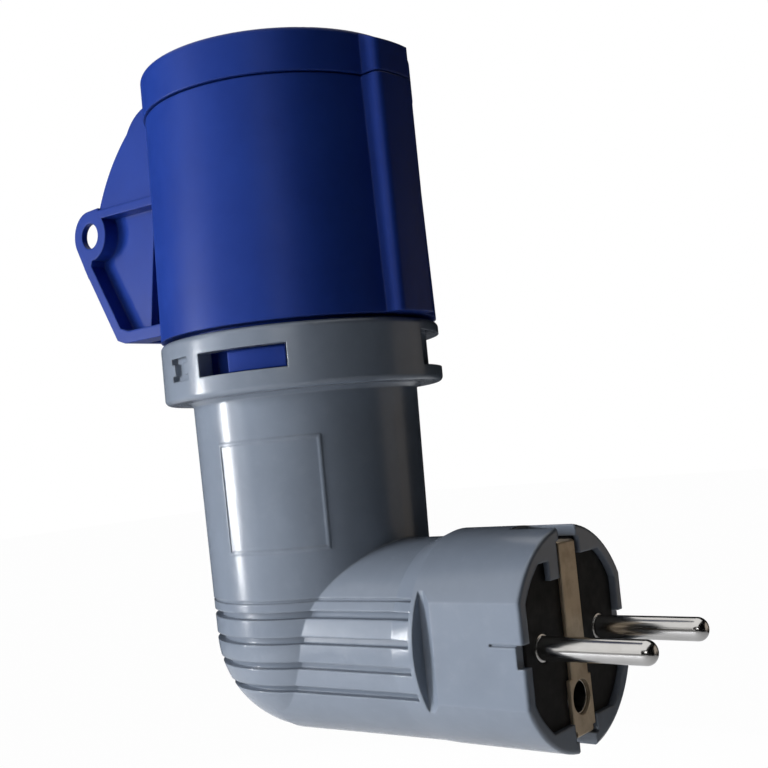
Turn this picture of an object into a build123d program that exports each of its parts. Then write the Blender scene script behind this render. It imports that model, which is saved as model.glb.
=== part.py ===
from build123d import *
import math
import os

# Right-angle mains adapter: a two-pin earthed wall plug, an elbow housing and a round three-pole
# industrial socket with a hinged, sprung lid.
# Millimetres. The origin is the middle of the plug's face, +X is the way the pins point, +Z is up
# along the socket's axis, and XZ is the plane of symmetry of the main forms.

# Plug face and pins
PIN_PITCH = 19.0
PIN_RADIUS = 2.0
PIN_LENGTH = 19.0
PIN_DOME = 1.7
PIN_STEP = 0.3
FACE_RADIUS = 19.0
FACE_FLAT = 2.0
FACE_EDGE = 0.6
FACE_RECESS = 1.0
FACE_BLOCK_EDGE = 13.7
FACE_BLOCK_GAP = 0.3
FACE_BAR_END = 10.5
FACE_BAR_WIDTH = 3.0
INSERT_DEPTH = 13.0
TERMINAL_LENGTH = 8.0
TERMINAL_SIZE = 7.0
EARTH_HOLE_DROP = 10.0
EARTH_HOLE_RADIUS = 2.6
EARTH_HOLE_DEPTH = 16.0
SLEEVE_WALL = 0.9
SLEEVE_FLOOR = 1.5
SLEEVE_TAIL = 7.0
STRAP_WIDTH = 5.3
STRAP_THICKNESS = 0.8
STRAP_BEND = 0.5
STRAP_EYELET_WIDTH = 7.0
STRAP_EYELET_REACH = (-5.2, 3.4)
CLIP_LENGTH = 8.0
CLIP_DROP = 1.35
GUIDE_HALF_HEIGHT = 1.9
GUIDE_LENGTH = 1.4
GUIDE_SEAM_LENGTH = 6.4
GUIDE_SEAM = 0.4

# Elbow housing
SOCKET_REACH = 57.0
HEAD_LENGTH = 21.6
HEAD_TAPER = 3.9
FLAT_LENGTH = 17.8
NECK_SPREAD_AT_TUBE = (0.3, -1.1)
NECK_SPREAD_AT_HEAD = (-0.5, -0.8)
NECK_DROP = 0.6
NECK_FULLNESS = 0.135
HOUSING_WALL = 2.4
HEAD_WALL = 2.0
TUBE_SET_IN = 2.0
TUBE_TAPER = 1.2
ELBOW_FLAT = 1.4
GROOVE_TOP = 6.1
GROOVE_PITCH = 4.55
GROOVE_COUNT = 4
GROOVE_WIDTH = 1.3
GROOVE_DEPTH = 1.4
GRIP_LINE_RISE = 2.3
GRIP_LINE_WIDTH = 0.5
GRIP_LINE_DEPTH = 0.35
GRIP_NOTCH_DEPTH = 1.0
GRIP_NOTCH_FLOOR = 1.0
GRIP_NOTCH_SLOPE = 1.8
LABEL_ANGLES = (-97.0, -42.0)
LABEL_HEIGHTS = (17.6, 38.6)
LABEL_LINE = 0.6
LABEL_RISE = 0.15

# Collar of the housing, which holds the socket
COLLAR_FOOT = 47.1
COLLAR_HEIGHT = 11.9
COLLAR_STEP = 0.2
COLLAR_WALL = 3.4
COLLAR_FLOOR = 1.6
COLLAR_EDGE = 1.1
COLLAR_SEAM = 0.7
WINDOW_STARTS = (-90.0, 90.0)
WINDOW_ANGLE = 37.5
WINDOW_RISE = 3.9
WINDOW_HEIGHT = 4.4
RECESS_START = 8.0
RECESS_ANGLE = 56.0
RECESS_RISE = 2.9
RECESS_HEIGHT = 6.7
RECESS_SKIN = 0.8
MARK_ANGLES = (-109.0, -97.0)
MARK_WAIST = 2.6
MARK_DEPTH = 1.2
SEAL_HEIGHT = 1.6

# Socket shroud
SHROUD_HEIGHT = 44.7
SHROUD_FLARE = 0.3
SHROUD_SET_IN = 0.4
MOUTH_RADIUS = 23.6
MOUTH_WALL = 1.8
MOUTH_HEIGHT = 5.4
SKIRT_WALL = 2.3
SHELF_RISE = 6.3
SHELF_THICKNESS = 4.0
KEYWAY_DEPTH = 4.0
KEYWAY_HALF_WIDTH = 2.6
KEYWAY_WALL = 1.7
KEYWAY_SIDE = 1.1
KEY_EDGE = 1.6
TAB_RISE = 1.4
TAB_START = 11.0
TAB_END = 1.0
SKIRT_SKIN = 0.7

# Hinge bracket on the back of the shroud; pairs are measured outwards from the socket and up
HINGE_REACH = 5.5
HINGE_DROP = 0.2
HINGE_RADIUS = 1.5
HINGE_FIT = 0.08
CHEEK_CROWN = 9.6
CHEEK_CROWN_TURN = 66.0
CHEEK_BROW = (3.3, 4.3)
CHEEK_BROW_BULGE = (0.0, 7.4)
CHEEK_BACK_BULGE = (0.5, 1.0)
CHEEK_RECESS = 0.6
BRACKET_HALF_WIDTH = 11.0
BRACKET_RISE = 3.4
BRACKET_SLOT = 7.5
BRACKET_SLOT_DEPTH = 10.7
BRACKET_SHELF = 1.4
BRACKET_SHELF_FALL = 0.9
BRACKET_WALL = 1.8
BRACKET_RIM = 2.6
POCKET_DEPTH = 3.6
ROOT_GAP_AT_FOOT = 9.5
ROOT_GAP_AT_TOP = 5.9
ROOT_GAP_DROP = 6.0
EYELET_FROM_HINGE = (18.5, -15.4)
EYELET_RADIUS = 2.9
EYELET_RING = 5.6
EYELET_SCOOP = 4.4
EYELET_PLATE = 1.4
WAIST_FROM_EYELET = (-3.7, 5.7)
HIP_FROM_EYELET = (3.0, -6.9)
TOE_RISE = 0.9
TOE_BACK = 6.8
HEEL_BACK = 9.3

# Lid
LID_SEAM = 0.35
LID_GAP = 0.7
LID_SKIRT_WALL = 1.4
LID_PLATE = 2.4
LID_EDGE = 1.0
LID_NOTCH_SET_IN = 0.4
LID_KEY_WALL = 1.0
LID_KEY_DROP = 2.8
LID_SWING_GAP = 0.7
LID_BARREL_RADIUS = 3.4
LID_ARM_INSIDE = 3.6
ARM_ROOT = 1.5
ARM_CROWN = 2.5
ARM_UNDERCUT = (2.2, 1.0)
ARM_WRAP = 23.0
GASKET_HEIGHT = 0.5
SPRING_WIRE = 0.45
SPRING_COIL = 2.45
SPRING_PITCH = 1.15
SPRING_TURNS = 4.5
SPRING_LEG = 4.0

# Contacts and their carrier
SOCKET_GAP = 6.2
CARRIER_SET_BACK = 3.3
CARRIER_FLANGE = 3.0
CARRIER_LIP = 2.5
CONTACT_SET_IN = 7.7
CONTACT_BORE = 2.55
EARTH_CONTACT_BORE = 3.05
CONTACT_WALL = 1.35
CONTACT_SLIT = 0.6
CONTACT_SLIT_LENGTH = 14.0
CONTACT_FLANGE = 2.5
CONTACT_ROOT = 4.0
TAIL_WALL = 1.8
TAIL_LENGTH = 11.5
RETAINER_THICKNESS = 2.0

# Leads and screws
LEAD_RADIUS = 1.4
LEAD_FIT = 0.2
LEAD_BEND = 13.0
LEAD_GRIP = 4.0
LEAD_HOLE_END = 0.5
SCREW_RADIUS = 1.4
SCREW_HEAD_RADIUS = 2.6
SCREW_HEAD_HEIGHT = 2.0
SCREW_SKIN = 0.6
SCREW_END = 0.4
RETAINER_SCREW_DEPTH = 9.0
GRUB_STAND = 1.0
DRIVER_SLOT = 0.7

# Clearances
FIT = 0.15
THREAD = 0.05
LOOSE = 0.3
SEAT = 0.1
OVERCUT = 1.0
BIG = 200.0

# Places worked out from the sizes above
AXIS_X = -SOCKET_REACH
ROUND_PULL = 4 / 3 * (math.sqrt(2) - 1)
PIN_SIDES = {"line": -1, "neutral": 1}
PIN_ROOT_RADIUS = PIN_RADIUS + PIN_STEP
SLEEVE_RADIUS = EARTH_HOLE_RADIUS + SLEEVE_WALL
FACE_HALF_WIDTH = FACE_RADIUS - FACE_FLAT
INSERT_RADIUS = FACE_RADIUS - HEAD_WALL - FIT
INSERT_HALF_WIDTH = FACE_HALF_WIDTH - HEAD_WALL - FIT
INSERT_FRONT = -FACE_RECESS - SEAT
CLIP_HEIGHT = INSERT_RADIUS - CLIP_DROP
CLIP_BACK = INSERT_FRONT - CLIP_LENGTH
CLIP_HALF_ROOM = STRAP_WIDTH / 2 + LOOSE
NECK_AT_TUBE = tuple(FACE_RADIUS + spread for spread in NECK_SPREAD_AT_TUBE)
NECK_AT_HEAD = tuple(FACE_RADIUS + spread for spread in NECK_SPREAD_AT_HEAD)
TUBE_FOOT = -NECK_AT_TUBE[1] - NECK_DROP
LEAD_HOLE = LEAD_RADIUS + LEAD_FIT
NECK_RADIUS_OUT = MOUTH_RADIUS + MOUTH_WALL
LID_BORE = NECK_RADIUS_OUT + LID_GAP
LID_RADIUS = LID_BORE + LID_SKIRT_WALL
LID_NOTCH_RADIUS = NECK_RADIUS_OUT - LID_NOTCH_SET_IN
SHROUD_TOP_RADIUS = LID_RADIUS - SHROUD_SET_IN
SHROUD_FOOT_RADIUS = LID_RADIUS + SHROUD_FLARE
COLLAR_RADIUS = SHROUD_FOOT_RADIUS + COLLAR_STEP
COLLAR_TOP = COLLAR_FOOT + COLLAR_HEIGHT
COLLAR_BORE = COLLAR_RADIUS - COLLAR_WALL
TUBE_TOP_RADIUS = COLLAR_BORE - TUBE_SET_IN
TUBE_FOOT_RADIUS = TUBE_TOP_RADIUS - TUBE_TAPER
ELBOW_FILLET = TUBE_FOOT_RADIUS - ELBOW_FLAT
WINDOW_SILL = COLLAR_FOOT + WINDOW_RISE
WINDOW_HEAD = WINDOW_SILL + WINDOW_HEIGHT
SEAL_FOOT = COLLAR_FOOT + COLLAR_FLOOR
SKIRT_FOOT = SEAL_FOOT + SEAL_HEIGHT + SEAT
SKIRT_RADIUS = COLLAR_BORE - LOOSE
SKIRT_BORE = SKIRT_RADIUS - SKIRT_WALL
SHROUD_FOOT = COLLAR_TOP + COLLAR_SEAM
SHROUD_SHOULDER = SHROUD_FOOT + SHROUD_HEIGHT
SHROUD_MOUTH = SHROUD_SHOULDER + MOUTH_HEIGHT
SHELF_TOP = SHROUD_FOOT + SHELF_RISE
SHELF_FOOT = SHELF_TOP - SHELF_THICKNESS
KEYWAY_RADIUS = MOUTH_RADIUS + KEYWAY_DEPTH
KEYWAY_FLOOR = SHELF_TOP + CARRIER_FLANGE + OVERCUT
KEY_NECK_RADIUS = KEYWAY_RADIUS + KEYWAY_WALL
KEY_NECK_HALF_WIDTH = KEYWAY_HALF_WIDTH + KEYWAY_SIDE
KEY_RADIUS = KEY_NECK_RADIUS + LID_SWING_GAP + LID_KEY_WALL
KEY_HALF_WIDTH = KEY_NECK_HALF_WIDTH + LID_SWING_GAP + LID_KEY_WALL
LID_FOOT = SHROUD_SHOULDER + LID_SEAM
LID_PLATE_FOOT = SHROUD_MOUTH + LOOSE + GASKET_HEIGHT
LID_TOP = LID_PLATE_FOOT + LID_PLATE
HINGE_OUT = LID_RADIUS + HINGE_REACH
HINGE_UP = SHROUD_SHOULDER - HINGE_DROP
HINGE_X = AXIS_X - HINGE_OUT
EYELET_OUT = HINGE_OUT + EYELET_FROM_HINGE[0]
EYELET_UP = HINGE_UP + EYELET_FROM_HINGE[1]
EYELET_X = AXIS_X - EYELET_OUT
BRACKET_FOOT = SHROUD_FOOT + BRACKET_RISE
BRACKET_SLOT_FLOOR = HINGE_UP - BRACKET_SLOT_DEPTH
POCKET_TOP = BRACKET_SLOT_FLOOR - BRACKET_SHELF
CARRIER_RADIUS = MOUTH_RADIUS - SOCKET_GAP
CARRIER_TOP = SHROUD_MOUTH - CARRIER_SET_BACK
CONTACT_CIRCLE = CARRIER_RADIUS - CONTACT_SET_IN
CONTACT_TOP = CARRIER_TOP - CARRIER_LIP - SEAT
CONTACT_FOOT = SHELF_TOP - CONTACT_FLANGE
SHELF_OPENING = CONTACT_CIRCLE + EARTH_CONTACT_BORE + 2 * CONTACT_WALL + LOOSE
TAIL_RADIUS = LEAD_HOLE + TAIL_WALL
TAIL_FOOT = CONTACT_FOOT - TAIL_LENGTH
RETAINER_TOP = CONTACT_FOOT - SEAT
RETAINER_FOOT = RETAINER_TOP - RETAINER_THICKNESS
CARRIER_SCREW_CIRCLE = (SHELF_OPENING + SKIRT_BORE) / 2


def block(x_span, y_span, z_span):
    """A box between two corners."""
    spans = (x_span, y_span, z_span)
    middle = [(a + b) / 2 for a, b in spans]
    sides = [abs(b - a) for a, b in spans]
    return Pos(*middle) * Box(*sides)


def post(radius, z_span, x=0.0, y=0.0):
    """An upright cylinder."""
    low, high = z_span
    return Pos(x, y, (low + high) / 2) * Cylinder(radius, high - low)


def rod(radius, x_span, y=0.0, z=0.0):
    """A cylinder along X."""
    low, high = x_span
    return Pos((low + high) / 2, y, z) * Rot(0, 90, 0) * Cylinder(radius, high - low)


def axle(radius, y_span, x, z):
    """A cylinder along Y."""
    low, high = y_span
    return Pos(x, (low + high) / 2, z) * Rot(90, 0, 0) * Cylinder(radius, high - low)


def mirrored_span(side, inner, outer):
    """The span between two distances on one side of the plane of symmetry."""
    return tuple(sorted((side * inner, side * outer)))


def at_socket(shape):
    """Carry a shape from the socket's own axis to its place."""
    return Pos(AXIS_X, 0, 0) * shape


def turned(points):
    """A ring turned about the socket's axis from an outline of (radius, height) points."""
    return revolve(make_face(Polyline(*[(r, 0, z) for r, z in points], close=True)), Axis.Z)


def sector(angles, radius_span, z_span):
    """A part of a ring between two angles about the socket's axis."""
    first, last = (math.radians(a) for a in angles)
    reach = 2 * radius_span[1]
    steps = [first + (last - first) * i / 2 for i in range(3)]
    corners = [(0, 0)] + [(reach * math.cos(a), reach * math.sin(a)) for a in steps]
    wedge = Pos(0, 0, z_span[0]) * extrude(make_face(Polyline(*corners, close=True)), z_span[1] - z_span[0])
    return (post(radius_span[1], z_span) - post(radius_span[0], z_span)) & wedge


def face_outline(radius, half_width, x_span):
    """The plug's outline, a disc with two flat sides, carried along X."""
    low, high = x_span
    return rod(radius, x_span) & block((low, high), (-half_width, half_width), (-radius, radius))


def bracket_plane(y):
    """Upright plane whose first axis points outwards from the socket's axis, away from the plug."""
    return Plane(origin=(AXIS_X, y, 0), x_dir=(-1, 0, 0), z_dir=(0, 1, 0))


def bracket_slab(points, y_span):
    """A slab between two heights of Y from an outline of (outwards, up) points."""
    outline = make_face(Polyline(*points, close=True))
    return extrude(bracket_plane(y_span[0]) * outline, y_span[1] - y_span[0])


def oval(width, height, pull):
    """An oval of four curves from its two half-sizes; a stronger pull makes its corners fuller."""
    a, b = width * pull, height * pull
    outline = Bezier((width, 0), (width, b), (a, height), (0, height))
    outline += Bezier((0, height), (-a, height), (-width, b), (-width, 0))
    outline += Bezier((-width, 0), (-width, -b), (-a, -height), (0, -height))
    outline += Bezier((0, -height), (a, -height), (width, -b), (width, 0))
    return make_face(outline)


def neck_section(x, inset=0.0):
    """The neck's oval section across X, which changes evenly from the tube to the plug head."""
    share = (x - AXIS_X) / (-HEAD_LENGTH - AXIS_X)
    half_sizes = [near + (far - near) * share - inset for near, far in zip(NECK_AT_TUBE, NECK_AT_HEAD)]
    plane = Plane(origin=(x, 0, -NECK_DROP), x_dir=(0, 1, 0), z_dir=(1, 0, 0))
    return plane * oval(*half_sizes, ROUND_PULL + NECK_FULLNESS * (1 - share))


def elbow_form(inset, tube_top=COLLAR_FOOT):
    """The elbow's tube and neck, with every wall moved in by the inset."""
    foot = TUBE_FOOT + inset
    height = tube_top - foot
    tube = Pos(0, 0, foot + height / 2) * Cone(TUBE_FOOT_RADIUS - inset, TUBE_TOP_RADIUS - inset, height)
    tube = fillet(tube.edges().group_by(Axis.Z)[0], ELBOW_FILLET - inset)
    neck = loft([neck_section(AXIS_X, inset), neck_section(-HEAD_LENGTH, inset)])
    return at_socket(tube) + neck


def plug_head():
    """The round end of the housing, with its two flat sides and the step behind each of them."""
    plane = Plane(origin=(-HEAD_LENGTH, 0, 0), x_dir=(0, 1, 0), z_dir=(1, 0, 0))
    rim = CenterArc((0, 0), FACE_RADIUS, 0, 90)
    for start in (90, 180, 270):
        rim += CenterArc((0, 0), FACE_RADIUS, start, 90)
    taper = loft([neck_section(-HEAD_LENGTH - HEAD_TAPER), plane * make_face(rim)])
    head = rod(FACE_RADIUS, (-HEAD_LENGTH, 0)) + taper
    for side in (-1, 1):
        head -= block((-FLAT_LENGTH, 0), mirrored_span(side, FACE_HALF_WIDTH, BIG), (-BIG, BIG))
    head = fillet(head.edges().group_by(Axis.X)[-1], FACE_EDGE)
    wall_x = -FLAT_LENGTH - GRIP_NOTCH_FLOOR - GRIP_NOTCH_SLOPE
    for side in (-1, 1):
        outside = side * (FACE_RADIUS + OVERCUT)
        floor = side * (FACE_HALF_WIDTH - GRIP_NOTCH_DEPTH)
        corners = [
            (wall_x, outside),
            (wall_x, floor),
            (wall_x + GRIP_NOTCH_FLOOR, floor),
            (-FLAT_LENGTH, side * FACE_HALF_WIDTH),
            (-FLAT_LENGTH, outside),
        ]
        head -= extrude(make_face(Polyline(*corners, close=True)), FACE_RADIUS, both=True)
        seam_x = (-GUIDE_SEAM_LENGTH, 0)
        seam_y = mirrored_span(side, FACE_HALF_WIDTH - GUIDE_SEAM, BIG)
        head -= block(seam_x, seam_y, (GUIDE_HALF_HEIGHT - GUIDE_SEAM, GUIDE_HALF_HEIGHT))
    return head


def grip_grooves():
    """The level grooves round the elbow and the fine line above them, as solids to be cut away."""
    reach = block((-BIG, -HEAD_LENGTH), (-BIG, BIG), (-BIG, BIG))
    around = reach - elbow_form(GROOVE_DEPTH)
    cuts = []
    for i in range(GROOVE_COUNT):
        middle = GROOVE_TOP - i * GROOVE_PITCH
        span = (middle - GROOVE_WIDTH / 2, middle + GROOVE_WIDTH / 2)
        cuts.append(around & block((-BIG, BIG), (-BIG, BIG), span))
    line = GROOVE_TOP + GRIP_LINE_RISE
    fine = reach - elbow_form(GRIP_LINE_DEPTH)
    cuts.append(fine & block((-BIG, BIG), (-BIG, BIG), (line, line + GRIP_LINE_WIDTH)))
    return cuts


def label_frame():
    """The raised line round the bare label field on the tube."""
    low, high = LABEL_HEIGHTS
    first, last = LABEL_ANGLES
    reach = (TUBE_FOOT_RADIUS - HOUSING_WALL, COLLAR_RADIUS)
    turn = math.degrees(LABEL_LINE / TUBE_TOP_RADIUS)
    frame = sector((first, last), reach, (low, high))
    frame -= sector((first + turn, last - turn), reach, (low + LABEL_LINE, high - LABEL_LINE))
    height = COLLAR_FOOT - TUBE_FOOT
    skin = Pos(0, 0, COLLAR_FOOT - height / 2) * Cone(
        TUBE_FOOT_RADIUS + LABEL_RISE, TUBE_TOP_RADIUS + LABEL_RISE, height
    )
    return at_socket(frame & skin)


def collar():
    """The ring at the top of the housing, with its windows, finger recess and sunk mark."""
    edge = COLLAR_EDGE
    inside = TUBE_TOP_RADIUS - HOUSING_WALL
    ring = turned([
        (inside, COLLAR_FOOT - edge),
        (TUBE_TOP_RADIUS - edge / 2, COLLAR_FOOT - edge),
        (TUBE_TOP_RADIUS + edge, COLLAR_FOOT),
        (COLLAR_RADIUS, COLLAR_FOOT),
        (COLLAR_RADIUS, COLLAR_TOP),
        (COLLAR_BORE, COLLAR_TOP),
        (COLLAR_BORE, SEAL_FOOT),
        (inside, SEAL_FOOT),
    ])
    circles = ring.edges().filter_by(GeomType.CIRCLE)
    ring = fillet([e for e in circles if abs(e.radius - COLLAR_RADIUS) < SEAT], edge)
    wall = (COLLAR_BORE - OVERCUT, COLLAR_RADIUS + OVERCUT)
    for start in WINDOW_STARTS:
        ring -= sector((start, start + WINDOW_ANGLE), wall, (WINDOW_SILL, WINDOW_HEAD))
    recess = (COLLAR_BORE + RECESS_SKIN, COLLAR_RADIUS + OVERCUT)
    recess_z = (COLLAR_FOOT + RECESS_RISE, COLLAR_FOOT + RECESS_RISE + RECESS_HEIGHT)
    ring -= sector((RECESS_START, RECESS_START + RECESS_ANGLE), recess, recess_z)
    first, last = MARK_ANGLES
    bar = WINDOW_HEIGHT / 4
    skin = (COLLAR_RADIUS - MARK_DEPTH, COLLAR_RADIUS + OVERCUT)
    ring -= sector((first, last), skin, (WINDOW_HEAD - bar, WINDOW_HEAD))
    ring -= sector((first + MARK_WAIST, last - MARK_WAIST), skin, (WINDOW_SILL, WINDOW_HEAD))
    ring -= sector((first, last), skin, (WINDOW_SILL, WINDOW_SILL + bar))
    return at_socket(ring)


def face_lips(head):
    """The lips over the top and bottom of the plug's face, inside the head's form, and the bar."""
    inner = STRAP_EYELET_WIDTH / 2 + FACE_BLOCK_GAP
    depth = (-FACE_RECESS, 0)
    lips = [block(depth, (-inner - FACE_BAR_WIDTH, -inner), (FACE_BAR_END, FACE_RADIUS))]
    for side in (-1, 1):
        y_span = mirrored_span(side, inner, FACE_RADIUS)
        lips.append(block(depth, y_span, (FACE_BLOCK_EDGE, FACE_RADIUS)))
        lips.append(block(depth, y_span, (-FACE_RADIUS, -FACE_BLOCK_EDGE)))
    return [lip & head for lip in lips]


def angle_housing():
    """The one-piece elbow housing: plug head, ribbed elbow, tube and collar."""
    head = plug_head()
    body = elbow_form(0) + head
    for groove in grip_grooves():
        body -= groove
    body += label_frame()
    body += collar()
    body -= elbow_form(HOUSING_WALL, SEAL_FOOT)
    body -= face_outline(FACE_RADIUS - HEAD_WALL, FACE_HALF_WIDTH - HEAD_WALL, (-HEAD_LENGTH, 0))
    for lip in face_lips(head):
        body += lip
    for side in (-1, 1):
        clip_z = mirrored_span(side, CLIP_HEIGHT, BIG)
        body -= block((CLIP_BACK - LOOSE, 0), (-CLIP_HALF_ROOM, CLIP_HALF_ROOM), clip_z)
        guide_y = mirrored_span(side, INSERT_HALF_WIDTH, BIG)
        body -= block((-GUIDE_LENGTH, 0), guide_y, (-GUIDE_HALF_HEIGHT, GUIDE_HALF_HEIGHT))
    return body


def shroud_seal():
    """The flat ring that seals the shroud's skirt on the collar's floor."""
    inner = TUBE_TOP_RADIUS - HOUSING_WALL + LOOSE
    span = (SEAL_FOOT, SEAL_FOOT + SEAL_HEIGHT)
    return at_socket(post(SKIRT_RADIUS, span) - post(inner, span))


def key_strip(radius, half_width, edge, z_span):
    """The upright bulge over the keyway, on the plug's side of the socket."""
    strip = block((MOUTH_RADIUS, radius + OVERCUT), (-half_width, half_width), z_span)
    strip &= post(radius, z_span)
    outer_edges = strip.edges().filter_by(Axis.Z).sort_by(Axis.X)[-2:]
    return fillet(outer_edges, edge)


def shroud_wall():
    """The shroud's outer wall, neck, shelf and skirt, turned in one ring."""
    return turned([
        (SKIRT_BORE, SKIRT_FOOT),
        (SKIRT_RADIUS, SKIRT_FOOT),
        (SKIRT_RADIUS, SHROUD_FOOT),
        (SHROUD_FOOT_RADIUS, SHROUD_FOOT),
        (SHROUD_TOP_RADIUS, SHROUD_SHOULDER),
        (NECK_RADIUS_OUT, SHROUD_SHOULDER),
        (NECK_RADIUS_OUT, SHROUD_MOUTH),
        (MOUTH_RADIUS, SHROUD_MOUTH),
        (MOUTH_RADIUS, SHELF_TOP),
        (SHELF_OPENING, SHELF_TOP),
        (SHELF_OPENING, SHELF_FOOT),
        (SKIRT_BORE, SHELF_FOOT),
    ])


def from_hinge(out, up):
    """A point of the bracket, measured from the hinge."""
    return (HINGE_OUT + out, HINGE_UP + up)


def from_eyelet(out, up):
    """A point of the bracket, measured from the eyelets' axis."""
    return (EYELET_OUT + out, EYELET_UP + up)


def crown_point(turn):
    """A point on the cheeks' round crown, turned up about the hinge from the socket's side."""
    angle = math.radians(turn)
    return from_hinge(-CHEEK_CROWN * math.cos(angle), CHEEK_CROWN * math.sin(angle))


def bracket_outline():
    """Outline of the bracket's thick body, from the shroud's wall out to the eyelets and back."""
    inside = MOUTH_RADIUS + MOUTH_WALL / 2
    brow = from_hinge(*CHEEK_BROW)
    waist = from_eyelet(*WAIST_FROM_EYELET)
    back = [(a + b) / 2 + bulge for a, b, bulge in zip(brow, waist, CHEEK_BACK_BULGE)]
    hip = from_eyelet(*HIP_FROM_EYELET)
    toe = (EYELET_OUT - TOE_BACK, BRACKET_FOOT + TOE_RISE)
    heel = (EYELET_OUT - HEEL_BACK, BRACKET_FOOT)
    corner = (inside, BRACKET_FOOT)
    edges = [
        ThreePointArc(crown_point(0), crown_point(CHEEK_CROWN_TURN / 2), crown_point(CHEEK_CROWN_TURN)),
        ThreePointArc(crown_point(CHEEK_CROWN_TURN), from_hinge(*CHEEK_BROW_BULGE), brow),
        ThreePointArc(brow, tuple(back), waist),
        Line(waist, hip),
        Line(hip, toe),
        Line(toe, heel),
        Line(heel, corner),
        Line(corner, (inside, HINGE_UP)),
        Line((inside, HINGE_UP), crown_point(0)),
    ]
    return make_face(Curve() + edges)


def pocket_points(inset):
    """Corners of the pocket in each side of the bracket's lower half, with its walls moved in."""
    inside = SHROUD_TOP_RADIUS - MOUTH_WALL
    rim = BRACKET_RIM
    floor = BRACKET_FOOT + rim + inset
    hip_out, hip_up = from_eyelet(*HIP_FROM_EYELET)
    return [
        (inside, POCKET_TOP - BRACKET_SHELF_FALL - inset),
        (EYELET_OUT - rim - inset, POCKET_TOP - inset),
        (hip_out - rim - inset, hip_up),
        (EYELET_OUT - TOE_BACK - rim / 2 - inset, floor + TOE_RISE),
        (EYELET_OUT - HEEL_BACK - rim / 2 - inset, floor),
        (inside, floor),
    ]


def bracket_core():
    """The hollow between the bracket's two pocket floors, open at its foot."""
    half = BRACKET_HALF_WIDTH - POCKET_DEPTH - BRACKET_WALL
    core = bracket_slab(pocket_points(BRACKET_WALL), (-half, half))
    core -= axle(EYELET_RING + BRACKET_WALL, (-half, half), EYELET_X, EYELET_UP)
    mouth_x = (AXIS_X - EYELET_OUT + HEEL_BACK + BRACKET_WALL, AXIS_X)
    mouth_top = BRACKET_FOOT + BRACKET_RIM + BRACKET_WALL + OVERCUT
    return core + block(mouth_x, (-half, half), (BRACKET_FOOT, mouth_top))


def bracket_side_cuts(side):
    """The pocket, the shallow field above it and the gap at its root, on one side."""
    half = BRACKET_HALF_WIDTH
    floor = half - POCKET_DEPTH
    span = mirrored_span(side, floor, half)
    pocket = bracket_slab(pocket_points(0), span)
    pocket -= axle(EYELET_RING, span, EYELET_X, EYELET_UP)
    step = BRACKET_SLOT_FLOOR + CHEEK_RECESS
    field = [
        (SHROUD_TOP_RADIUS, step - BRACKET_SHELF_FALL),
        (EYELET_OUT, step),
        (EYELET_OUT, HINGE_UP + CHEEK_CROWN),
        (SHROUD_TOP_RADIUS, HINGE_UP + CHEEK_CROWN),
    ]
    sill = BRACKET_FOOT + BRACKET_RIM
    head = POCKET_TOP - ROOT_GAP_DROP
    gap = [
        (SHROUD_FOOT_RADIUS, sill),
        (SHROUD_FOOT_RADIUS + ROOT_GAP_AT_FOOT, sill),
        (SHROUD_FOOT_RADIUS + ROOT_GAP_AT_TOP, head),
        (SHROUD_FOOT_RADIUS, head),
    ]
    return [
        pocket,
        bracket_slab(field, mirrored_span(side, half - CHEEK_RECESS, half)),
        bracket_slab(gap, mirrored_span(side, floor - BRACKET_WALL, floor)),
    ]


def eyelet_plate(side):
    """One of the two thin eyelets, with the web that joins it to the bracket."""
    span = mirrored_span(side, BRACKET_HALF_WIDTH - EYELET_PLATE, BRACKET_HALF_WIDTH)
    lean = math.atan2(TOE_BACK + HIP_FROM_EYELET[0], EYELET_UP + HIP_FROM_EYELET[1] - BRACKET_FOOT)
    tangent = (EYELET_RING * math.cos(lean), -EYELET_RING * math.sin(lean))
    hip_out, hip_up = HIP_FROM_EYELET
    web = [
        from_eyelet(*WAIST_FROM_EYELET),
        from_eyelet(0, EYELET_RING),
        from_eyelet(*tangent),
        from_eyelet(hip_out - BRACKET_RIM / 2, hip_up - BRACKET_RIM),
        from_eyelet(hip_out - BRACKET_RIM, hip_up),
    ]
    return axle(EYELET_RING, span, EYELET_X, EYELET_UP) + bracket_slab(web, span)


def hinge_bracket():
    """The bracket behind the shroud: two cheeks for the lid's hinge, side pockets and two eyelets."""
    half = BRACKET_HALF_WIDTH
    across = (-half, half)
    slot_y = (-BRACKET_SLOT, BRACKET_SLOT)
    body = extrude(bracket_plane(-half) * bracket_outline(), 2 * half)
    body -= axle(EYELET_SCOOP, across, EYELET_X, EYELET_UP)
    body -= block((AXIS_X - BIG, AXIS_X - SHROUD_TOP_RADIUS), slot_y, (BRACKET_SLOT_FLOOR, BIG))
    body -= block((AXIS_X - BIG, AXIS_X), slot_y, (SHROUD_SHOULDER, BIG))
    body -= bracket_core()
    for side in (-1, 1):
        for cut in bracket_side_cuts(side):
            body -= cut
        body += eyelet_plate(side)
    body -= axle(EYELET_RADIUS, across, EYELET_X, EYELET_UP)
    return body - axle(HINGE_RADIUS + THREAD, (-half + BRACKET_WALL, half), HINGE_X, HINGE_UP)


def bayonet_tabs():
    """The raised pads of the skirt that stand in the collar's windows."""
    span = (WINDOW_SILL + LOOSE, WINDOW_HEAD - LOOSE)
    radii = (SKIRT_BORE + SKIRT_SKIN, SKIRT_RADIUS + TAB_RISE)
    return [sector((a + TAB_START, a + WINDOW_ANGLE - TAB_END), radii, span) for a in WINDOW_STARTS]


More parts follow.
